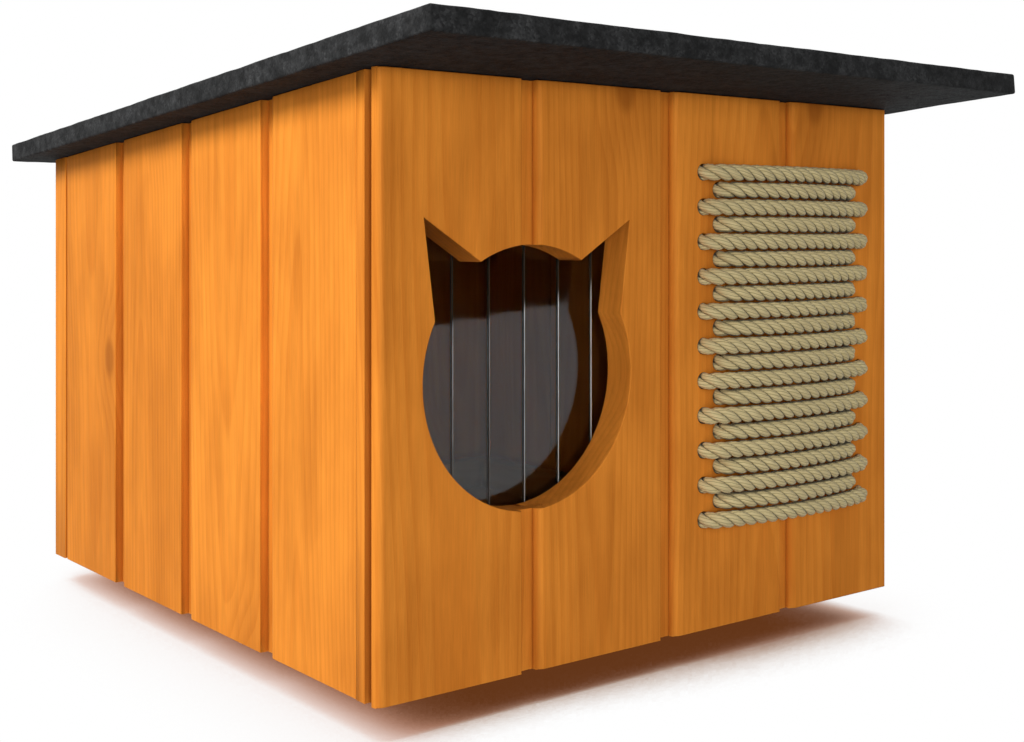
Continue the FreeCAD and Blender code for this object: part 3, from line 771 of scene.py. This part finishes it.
def row_route(row):
    """A row's corners: out of its hole, across in a bow, and back into the wall."""
    start, end, height = row_places(row)
    corner = front_y - CORNER_OUT
    inside = front_y + CORNER_IN
    points = [(start, inside, height), (start, corner, height)]
    for step in range(1, ROW_CORNERS):
        share = step / ROW_CORNERS
        out = 4 * BOW_OUT * share * (1 - share)
        points.append((start + (end - start) * share, corner - out, height))
    return points + [(end, corner, height), (end, inside, height)]


# The first tail, the rows with half turns behind the wall between them, and the second tail.
start, end, height = row_places(0)
route = [(start - aside, tail_y, height) for aside in tails]
for row in range(ROWS):
    if row > 0:
        route.append((end, loop_y, height))
        start, end, height = row_places(row)
        route.append((start, loop_y, height))
    route += row_route(row)
route += [(end, tail_y, height - down) for down in reversed(tails)]
print("corners of the route:", len(route))

# %% The rope's line
curve = bpy.data.curves.new("rope_line", "CURVE")
curve.dimensions = "3D"
curve.resolution_u = 10
spline = curve.splines.new("NURBS")
spline.points.add(len(route) - 1)
for point, place in zip(spline.points, route):
    point.co = (*place, 1.0)
spline.order_u = 3
spline.use_endpoint_u = True
holder = new_object("rope_line", curve)
rope_line = bpy.data.meshes.new_from_object(holder.evaluated_get(bpy.context.evaluated_depsgraph_get()))
bpy.data.objects.remove(holder)
rope_steps = np.diff(points_of(rope_line), axis=0)
print("rope length", round(float(np.linalg.norm(rope_steps, axis=1).sum()), 3), "m")

# %% The sisal's finish
YARNS = 7
YARN_PITCH = 21.0 * MM
ROPE_SHADE_REACH = 5 * MM
YARN_DEPTH = 0.5 * MM
sisal, tree, surface = new_finish("sisal")
along = kept(tree, "along")
ring = add_node(tree, "ShaderNodeSeparateXYZ", {0: kept(tree, "around", "Vector")}).outputs
angle = maths("ARCTAN2", ring[Y], ring[X])
turned = maths("ADD", angle, maths("MULTIPLY", along, math.tau / YARN_PITCH))
yarn = maths("ABSOLUTE", maths("SINE", maths("MULTIPLY", turned, YARNS / 2)))

# Fibres lie along the yarns.
lie = vector_of(maths("COSINE", turned), maths("SINE", turned), maths("MULTIPLY", along, 30.0))
fibre = stretched_noise(lie, (16, 16, 2.2), 3.0)
patch = stretched_noise(place_of(tree), (60, 60, 60), 2.0)

# Painted shade between the yarns, duller in patches, and the darkest painted shade deep between strands and
# rows.
colour = mix_colour(ramp(fibre, 0.25, 0.75), (0.59, 0.47, 0.21, 1), (0.94, 0.81, 0.45, 1))
colour = mix_colour(ramp(yarn, 0.0, 0.55, 0.7, 0.0), colour, (0.20, 0.145, 0.05, 1))
colour = mix_colour(ramp(patch, 0.3, 0.75, 0.0, 0.3), colour, (0.50, 0.41, 0.22, 1))
# Painted shade from what lies within reach: nearly black between strands and between rows.
colour = tinted(colour, painted_crevice_shade(tree, ROPE_SHADE_REACH, 0.80, 0.25), 0.92, (0.045, 0.034, 0.010, 1))
relief = maths("ADD", yarn, maths("MULTIPLY", fibre, 0.9))
fill(surface, {"Base Color": colour, "Roughness": ramp(fibre, 0.2, 0.8, 0.78, 0.6),
               "Sheen Weight": 0.15, "Normal": bumped(relief, 0.6, YARN_DEPTH)})
print("yarns in a strand:", YARNS)

# %% Geometry Nodes helpers
def recipe(name, inputs):
    """A Geometry Nodes tree with named inputs: the tree, its input sockets and its output node."""
    tree = bpy.data.node_groups.new(name, "GeometryNodeTree")
    tree.interface.new_socket("Geometry", in_out="INPUT", socket_type="NodeSocketGeometry")
    tree.interface.new_socket("Geometry", in_out="OUTPUT", socket_type="NodeSocketGeometry")
    for label, kind in inputs.items():
        tree.interface.new_socket(label, in_out="INPUT", socket_type="NodeSocket" + kind)
    return tree, add_node(tree, "NodeGroupInput").outputs, add_node(tree, "NodeGroupOutput")


def follow(piece, tree, values):
    """Runs a recipe on a piece with the given sizes, and keeps the result as a plain mesh."""
    modifier = piece.modifiers.new(tree.name, "NODES")
    modifier.node_group = tree
    for item in tree.interface.items_tree:
        if item.in_out == "INPUT" and item.name in values:
            modifier[item.identifier] = values[item.name]
    return as_plain_mesh(piece)


def marked(geometry, name, value, kind):
    """A geometry that keeps a value for each of its points."""
    inputs = {"Geometry": geometry, "Name": name, "Value": value}
    return node(geometry.id_data, "GeometryNodeStoreNamedAttribute", inputs, data_type=kind, domain="POINT")


def mark(tree, name):
    """A vector that a geometry keeps under a name."""
    return node(tree, "GeometryNodeInputNamedAttribute", {"Name": name}, data_type="FLOAT_VECTOR")


def finish_recipe(tree, geometry, finish, result):
    """Ends a recipe: real faces, smooth, with their finish."""
    smooth = node(tree, "GeometryNodeSetShadeSmooth", {"Geometry": geometry})
    real = node(tree, "GeometryNodeRealizeInstances", {"Geometry": smooth})
    dressed = node(tree, "GeometryNodeSetMaterial", {"Geometry": real, "Material": finish})
    tree.links.new(dressed, result.inputs[0])


print("a recipe can be written and followed")

# %% A strand's section
STRANDS = 3
LAY = 32.0 * MM
STRAND_CENTRE = 3.2 * MM
CROWN = 1.055
strand_slope = math.atan(math.tau * STRAND_CENTRE / LAY)

# A strand is a plump third of the rope, because three strands squeeze each other into wedges. The points
# are shares of the rope's radius and degrees round the rope.
outer_arc = [(1 - 0.30 * abs(angle / 60) ** 3, angle) for angle in range(-54, 55, 18)]
inner_side = [(0.60, 57), (0.34, 50), (0.10, 0), (0.34, -50), (0.60, -57)]
points = []
for reach, degrees in outer_arc + inner_side:
    radius = reach * CROWN * ROPE_DIAMETER / 2
    angle = math.radians(degrees)
    sideways = radius * math.sin(angle) * math.cos(strand_slope)
    points.append((radius * math.cos(angle) - STRAND_CENTRE, sideways, 0))
count = len(points)
mesh = bpy.data.meshes.new("strand_section")
mesh.from_pydata(points, [(index, (index + 1) % count) for index in range(count)], [])
section = bpy.data.objects.new("strand_section", mesh)
print("points round a strand:", len(section.data.vertices))

# %% Three strands wound round the line
STRAND_STEP = 2.4 * MM
inputs = {"Section": "Object", "Strand centre": "Float", "Lay": "Float", "Step": "Float",
          "Finish": "Material"}
tree, given, result = recipe("three_strand_lay", inputs)
path = node(tree, "GeometryNodeMeshToCurve", {"Mesh": given["Geometry"]})
even = node(tree, "GeometryNodeResampleCurve", {"Curve": path, "Length": given["Step"]}, mode="LENGTH")
run = node(tree, "GeometryNodeSplineParameter", output="Length")
line = marked(even, "along", run, "FLOAT")
normal = node(tree, "GeometryNodeInputNormal")
tangent = node(tree, "GeometryNodeInputTangent")
sideways = vector_sum("CROSS_PRODUCT", tangent, normal)
turns = maths("DIVIDE", run, given["Lay"])

# The section keeps for each point its way round the strand.
drawn = node(tree, "GeometryNodeObjectInfo", {"Object": given["Section"]}, "Geometry")
ring = node(tree, "GeometryNodeMeshToCurve", {"Mesh": drawn})
place = node(tree, "GeometryNodeInputPosition")
profile = marked(ring, "around", vector_sum("NORMALIZE", place), "FLOAT_VECTOR")

# Each strand starts at its own angle, and its section always faces outwards.
strands = add_node(tree, "GeometryNodeJoinGeometry")
for strand in range(STRANDS):
    angle = maths("MULTIPLY", maths("ADD", turns, strand / STRANDS), math.tau)
    out = scaled(normal, maths("COSINE", angle))
    over = scaled(sideways, maths("SINE", angle))
    turned = marked(line, "outwards", vector_sum("ADD", out, over), "FLOAT_VECTOR")
    side = mark(tree, "outwards")
    offset = scaled(side, given["Strand centre"])
    wound = node(tree, "GeometryNodeSetPosition", {"Geometry": turned, "Offset": offset})
    facing = node(tree, "GeometryNodeSetCurveNormal", {"Curve": wound, "Normal": side}, mode="FREE")
    inputs = {"Curve": facing, "Profile Curve": profile, "Fill Caps": True}
    tube = node(tree, "GeometryNodeCurveToMesh", inputs)
    tree.links.new(tube, strands.inputs[0])
finish_recipe(tree, strands.outputs[0], given["Finish"], result)

rope = new_object("rope_strands", rope_line)
follow(rope, tree, {"Section": section, "Strand centre": STRAND_CENTRE, "Lay": LAY,
                    "Step": STRAND_STEP, "Finish": sisal})
bpy.data.objects.remove(section)
settle(rope, "scratch_rope")
rope_places = points_of(rope.data) / MM
print("rope triangles:", sum(len(face.vertices) - 2 for face in rope.data.polygons))
print("rope box in mm:", rope_places.min(0).round(1), rope_places.max(0).round(1))

# %% [markdown]
# ## Strip curtain
# Seven strips of clear soft sheet keep the draught out. They hang from a clamped heading and each one can
# be pushed in. A strip is made as a closed, thin sheet with enough rows to bend, a slight bow across its
# width as sheet from a roll has, and cut edges. The cut edges at the front get a painted highlight, which
# shows as thin bright lines below a slanting height, brighter on some strips than on others. Elsewhere the
# cut edges are painted dark, as painted shade.

# %% Finishes of the clear sheet
HAZE_DEPTH = 1 * MM
clear_sheet, tree, surface = new_finish("clear_sheet")
haze = stretched_noise(place_of(tree), (40, 40, 9), 3.0)
fill(surface, {"Base Color": (0.58, 0.61, 0.63, 1), "IOR": 1.40, "Transmission Weight": 1.0,
               "Roughness": ramp(haze, 0.35, 0.8, 0.02, 0.07),
               "Normal": bumped(haze, 0.02, HAZE_DEPTH)})

# The cut edges are painted: dark as painted shade, and white as a painted highlight where the share kept
# for each point is high.
painted_edge_light, tree, surface = new_finish("painted_edge_light")
scratch = stretched_noise(place_of(tree), (900, 900, 60), 2.0)
highlight_share = maths("MULTIPLY", ramp(kept(tree, "edge_highlight"), 0.45, 0.95), ramp(scratch, 0.2, 0.7, 0.55, 1.0))
colour = mix_colour(highlight_share, (0.035, 0.022, 0.013, 1), (0.80, 0.81, 0.80, 1))
gloss = ramp(highlight_share, 0.0, 1.0, 0.3, 0.5)
fill(surface, {"Base Color": colour, "Roughness": gloss, "Specular IOR Level": 0.1})
print("finishes of a strip:", clear_sheet.name, "and", painted_edge_light.name)

# %% A strip's shape
STRIP_ROWS = 48
STRIP_COLUMNS = 10
STRIP_BOW = 0.03 * MM
BOW_LEVEL = 0.6
MOST_TWIST = 0.12
EDGE_ROUND = 0.35 * MM
STRIP_SEED = 200
heading_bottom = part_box("curtain_heading")[0].z

# The sides of a strip's outline that turn round its right and its left cut edge.
cut_sides = [first + step for first in (STRIP_COLUMNS, 2 * STRIP_COLUMNS + 3) for step in range(3)]


def strip_outline(width, thick):
    """A strip's section, from the middle of its width: faces of several columns and eased edges."""
    half = width / 2
    flat = half - EDGE_ROUND
    front = [(-flat + 2 * flat * step / STRIP_COLUMNS, -thick / 2) for step in range(STRIP_COLUMNS + 1)]
    right = [(half, -thick / 2 + EDGE_ROUND), (half, thick / 2 - EDGE_ROUND)]
    return front + right + [(-x, -y) for x, y in front + right]


def strip_mesh(name, low, high, seed):
    """A closed strip, bowed across and slightly twisted; its cut faces have the second finish."""
    chance = random.Random(seed)
    middle = (low + high) / 2
    width = high.x - low.x
    outline = strip_outline(width, high.y - low.y)
    twist = math.tan(math.radians(chance.uniform(-MOST_TWIST, MOST_TWIST)))
    bow = STRIP_BOW * chance.uniform(0.5, 1.3)
    shape = bmesh.new()
    rings = []
    for row in range(STRIP_ROWS + 1):
        share = row / STRIP_ROWS
        height = heading_bottom + (low.z - heading_bottom) * share
        ring = []

        # Near its clamp a strip is still flat.
        free = min(1.0, share * 3)
        for x, y in outline:
            curl = bow * free * (1 - (2 * x / width) ** 2 - BOW_LEVEL) + x * twist * share
            ring.append(shape.verts.new((middle.x + x, middle.y + y + curl, height)))
        rings.append(ring)
    for upper, lower in zip(rings, rings[1:]):
        for side in range(len(outline)):
            after = (side + 1) % len(outline)
            face = shape.faces.new((upper[side], upper[after], lower[after], lower[side]))
            face.material_index = 1 if side in cut_sides else 0
    shape.faces.new(rings[0])
    shape.faces.new(list(reversed(rings[-1]))).material_index = 1
    bmesh.ops.recalc_face_normals(shape, faces=shape.faces)
    mesh = bpy.data.meshes.new(name)
    shape.to_mesh(mesh)
    shape.free()
    return mesh


print("a strip hangs from", round(heading_bottom / MM, 1), "mm in", STRIP_ROWS, "rows")

# %% Strips of clear sheet
STRIPS = 7
STRIP_CREASE = 30
HEADING_EASE = 0.3 * MM

# How bright one strip's painted edge highlight is by height. On every next strip the highlighted part
# reaches a little higher.
HIGHLIGHT_STRIP = 5
HIGHLIGHT_HEIGHTS = (160 * MM, 262 * MM, 284 * MM)
HIGHLIGHT_SHARES = (0.86, 1.0, 0.0)
HIGHLIGHT_RISE = 5 * MM
HIGHLIGHT_BY_STRIP = {1: 0.75, 2: 0.75, 3: 0.76, 4: 0.68, 5: 0.84, 6: 0.92, 7: 1.10}


def soft_strip(index):
    """One clear strip, bowed below its clamp, with a painted highlight on its front cut edges."""
    name = "curtain_strip_%d" % index
    low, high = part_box(name)
    middle = (low + high) / 2
    mesh = strip_mesh(name + "_soft", low, high, STRIP_SEED + index)
    places = points_of(mesh)
    # Painted highlight on the front cut edges, by height and by strip.
    height = places[:, Z] - HIGHLIGHT_RISE * (index - HIGHLIGHT_STRIP)
    highlight_by_height = np.interp(height, HIGHLIGHT_HEIGHTS, HIGHLIGHT_SHARES) * HIGHLIGHT_BY_STRIP[index]
    keep(mesh, "edge_highlight", highlight_by_height * (places[:, Y] < middle.y))
    mesh.materials.append(clear_sheet)
    mesh.materials.append(painted_edge_light)
    shade_smooth(mesh, STRIP_CREASE)
    piece = new_object(name + "_soft", mesh)
    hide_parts(name)
    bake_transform(piece)
    return piece


strips = [soft_strip(index) for index in range(1, STRIPS + 1)]
eased("curtain_heading", HEADING_EASE, clear_sheet)
print("strips:", len(strips), "each of", len(strips[1].data.polygons), "faces")

# %% [markdown]
# ## Zinc-plated steel
# Hinges, screws and staples are plain zinc-plated steel: bright, a little cloudy, with a faint warm or blue
# cast where the plating is thicker. The hinges' leaves get eased edges; pins and staples are right as they
# are in the frame.

# %% Hinges and staples
LEAF_EASE = 0.25 * MM
SCRATCH_DEPTH = 0.2 * MM
zinc_steel, tree, surface = new_finish("zinc_steel")
place = place_of(tree)
cloud = stretched_noise(place, (160, 160, 160), 3.0)
scratch = stretched_noise(place, (2500, 300, 2500), 2.0)
colour = mix_colour(ramp(cloud, 0.3, 0.7), (0.50, 0.51, 0.53, 1), (0.68, 0.66, 0.61, 1))
fill(surface, {"Base Color": colour, "Metallic": 1.0, "Roughness": ramp(cloud, 0.25, 0.75, 0.30, 0.46),
               "Normal": bumped(scratch, 0.08, SCRATCH_DEPTH)})

zinc_parts = [name for name in sorted(frame["nodes"]) if slot_of[name] == "zinc_steel"]
screw_groups = [name for name in zinc_parts if name.endswith("_screws")]
for name in zinc_parts:
    if name.endswith("_leaf"):
        eased(name, LEAF_EASE, zinc_steel)
    elif name not in screw_groups:
        frame["nodes"][name].data.materials.clear()
        frame["nodes"][name].data.materials.append(zinc_steel)
print("zinc parts:", len(zinc_parts), "of them groups of screws:", len(screw_groups))

# %% [markdown]
# ## Screws
# In the frame a group of screws is a group of plain countersunk pins. A real one has a cross-shaped recess
# for the driver and a point, and no two stop at the same turn. So one screw of each length is modelled, and
# a recipe sets it on the head of every pin, each with a turn of its own.

# %% One screw
SHANK_RADIUS = 1.75 * MM
HEAD_RADIUS = 3.5 * MM
HEAD_HEIGHT = 1.75 * MM
POINT_LENGTH = 4 * MM
TIP_RADIUS = 0.1 * SHANK_RADIUS
ARM_LENGTH, ARM_HALF = 1.75 * MM, 0.45 * MM
RECESS_DEPTH, RECESS_TAPER = 1.3 * MM, 0.55
SCREW_SIDES = 24


def ring_of(shape, radius, height):
    """A circle of new points round the screw's axis."""
    turns = [math.tau * step / SCREW_SIDES for step in range(SCREW_SIDES)]
    return [shape.verts.new((radius * math.cos(turn), radius * math.sin(turn), height)) for turn in turns]


def cross_of(shape, share, height):
    """The outline of the cross recess, drawn in towards the axis by a share."""
    corner = [(ARM_LENGTH, -ARM_HALF), (ARM_LENGTH, ARM_HALF), (ARM_HALF, ARM_HALF)]
    quarters = [Matrix.Rotation(math.radians(90 * arm), 2) for arm in range(4)]
    points = [quarter @ Vector(place) for quarter in quarters for place in corner]
    return [shape.verts.new((*(place * share), height)) for place in points]


def edges_of(shape, ring):
    """The edges that close a ring of points."""
    pairs = zip(ring, ring[1:] + ring[:1])
    return [shape.edges.get(pair) or shape.edges.new(pair) for pair in pairs]


def screw_mesh(length):
    """A countersunk screw whose head is flush at the origin and whose point is below it."""
    shape = bmesh.new()
    rings = [cross_of(shape, RECESS_TAPER, -RECESS_DEPTH), cross_of(shape, 1.0, 0),
             ring_of(shape, HEAD_RADIUS, 0), ring_of(shape, SHANK_RADIUS, -HEAD_HEIGHT),
             ring_of(shape, SHANK_RADIUS, POINT_LENGTH - length), ring_of(shape, TIP_RADIUS, -length)]
    loops = [edges_of(shape, ring) for ring in rings]
    for inner, outer in zip(loops, loops[1:]):
        bmesh.ops.bridge_loops(shape, edges=inner + outer)
    shape.faces.new(rings[0])
    shape.faces.new(rings[-1])
    bmesh.ops.recalc_face_normals(shape, faces=shape.faces)
    mesh = bpy.data.meshes.new("one_screw")
    shape.to_mesh(mesh)
    shape.free()
    return mesh


print("screw heads", round(2 * HEAD_RADIUS / MM, 1), "mm wide")

# %% Where the pins' heads are
def islands_of(mesh):
    """The loose pieces of a mesh, each as rows of points."""
    shape = bmesh.new()
    shape.from_mesh(mesh)
    seen = set()
    islands = []
    for first in shape.verts:
        if first in seen:
            continue
        seen.add(first)
        reached = [first]
        for vertex in reached:
            others = [edge.other_vert(vertex) for edge in vertex.link_edges]
            fresh = [other for other in others if other not in seen]
            seen.update(fresh)
            reached += fresh
        islands.append(np.array([vertex.co for vertex in reached]))
    shape.free()
    return islands


def head_of(places):
    """The middle of a pin's head, the way out of the wood, and the pin's length."""
    middle = places.mean(0)
    local = places - middle
    out = np.linalg.svd(local, full_matrices=False)[2][0]
    run = local @ out
    wide = np.linalg.norm(local - np.outer(run, out), axis=1)
    if run[wide.argmax()] < 0:
        out, run = -out, -run
    return middle + out * run.max(), out, np.ptp(run)


heads_of = {name: [head_of(island) for island in islands_of(merged_copy(name))] for name in screw_groups}
print("screws in each group:", {name: len(heads) for name, heads in heads_of.items()})

# %% Screws set on the heads
SCREW_SEED = 300
SCREW_CREASE = 35

# A screw on every point, out along the point's own way and with a chance turn.
tree, given, result = recipe("set_of_screws", {"Screw": "Object", "Seed": "Int", "Finish": "Material"})
spin = node(tree, "FunctionNodeRandomValue", {2: 0.0, 3: math.tau, "Seed": given["Seed"]}, 1)
spun = node(tree, "FunctionNodeEulerToRotation", {0: vector_of(0.0, 0.0, spin)})
inputs = {"Rotation": spun, "Vector": mark(tree, "out")}
turned = node(tree, "FunctionNodeAlignRotationToVector", inputs, axis="Z")
model = node(tree, "GeometryNodeObjectInfo", {"Object": given["Screw"]}, "Geometry")
inputs = {"Points": given["Geometry"], "Instance": model, "Rotation": turned}
placed = node(tree, "GeometryNodeInstanceOnPoints", inputs)
finish_recipe(tree, placed, given["Finish"], result)

for index, (name, heads) in enumerate(heads_of.items()):
    places, ways, lengths = zip(*heads)
    mesh = bpy.data.meshes.new(name + "_heads")
    mesh.from_pydata([tuple(place) for place in places], [], [])
    keep(mesh, "out", ways)
    piece = new_object(name + "_set", mesh)
    model = bpy.data.objects.new("one_screw", screw_mesh(lengths[0]))
    follow(piece, tree, {"Screw": model, "Seed": SCREW_SEED + index, "Finish": zinc_steel})
    bpy.data.objects.remove(model)
    shade_smooth(piece.data, SCREW_CREASE)
    settle(piece, name)
    print(name, "length", round(float(lengths[0]) / MM, 1), "mm")
